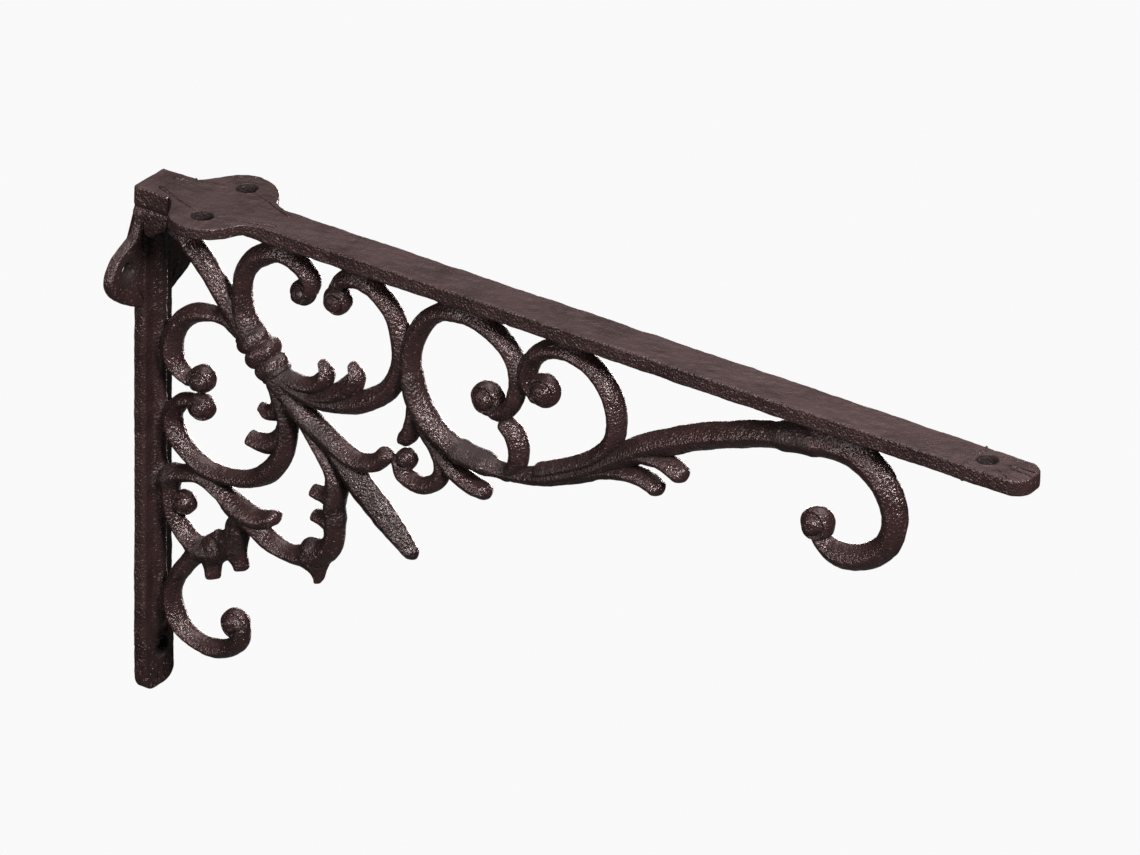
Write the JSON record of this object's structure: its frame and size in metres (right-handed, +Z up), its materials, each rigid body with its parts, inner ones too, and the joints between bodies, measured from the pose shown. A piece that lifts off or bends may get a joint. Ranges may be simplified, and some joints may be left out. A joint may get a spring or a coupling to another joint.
{
  "type": "shelf bracket",
  "caption": "Ornamental cast-iron shelf bracket: L-shaped frame of flat bars with screw lugs, filled with C-scrolls, leaves and a spear, and a hook under the arm's free end.",
  "frame": {"origin": "on the wall plane at the top edge of the corner block, in the bracket's plane of symmetry", "axes": "+X out from the wall along the shelf arm, +Y across the bracket, +Z up, out of the shelf seat"},
  "size_m": [0.281, 0.0408, 0.154],
  "materials": {
    "iron_frame": "dark brown paint over a sand-cast skin, satin",
    "iron_scroll": "dark brown paint over a sand-cast skin, satin"
  },
  "bodies": {
    "root": {"corner_block": "iron_frame", "wall_leg": "iron_frame", "foot_pad": "iron_frame", "wall_lug_left": "iron_frame", "wall_lug_right": "iron_frame", "shelf_arm": "iron_frame", "arm_tip": "iron_frame", "shelf_lug_left": "iron_frame", "shelf_lug_right": "iron_frame", "diagonal_strut": "iron_scroll", "knuckle": "iron_scroll", "inner_scroll": "iron_scroll", "inner_ball": "iron_scroll", "outer_scroll": "iron_scroll", "outer_ball": "iron_scroll", "outer_leaf_near": "iron_scroll", "outer_leaf_far": "iron_scroll", "leg_scroll_upper": "iron_scroll", "leg_ball_upper": "iron_scroll", "leg_scroll_lower": "iron_scroll", "leg_ball_lower": "iron_scroll", "leg_leaf_upper": "iron_scroll", "leg_leaf_lower": "iron_scroll", "spear_strap": "iron_scroll", "spear_tip": "iron_scroll", "drop_branch": "iron_scroll", "drop_leaf_upper": "iron_scroll", "drop_leaf_lower": "iron_scroll", "drop_hook": "iron_scroll", "drop_foot": "iron_scroll", "cross_strap": "iron_scroll", "small_ring": "iron_scroll", "small_ball": "iron_scroll", "thorn_left": "iron_scroll", "thorn_right": "iron_scroll", "thorn_middle": "iron_scroll", "toe_scroll": "iron_scroll", "toe_ball": "iron_scroll", "round_scroll": "iron_scroll", "round_ball": "iron_scroll", "neck_leaf": "iron_scroll", "oval_scroll": "iron_scroll", "oval_ball": "iron_scroll", "tail_bar": "iron_scroll", "tail_leaf_upper": "iron_scroll", "tail_leaf_lower": "iron_scroll", "end_hook": "iron_scroll", "end_ball": "iron_scroll", "sprig_stem": "iron_scroll", "sprig_loop": "iron_scroll", "sprig_ball": "iron_scroll", "drop_petal": "iron_scroll"}
  },
  "joints": []
}
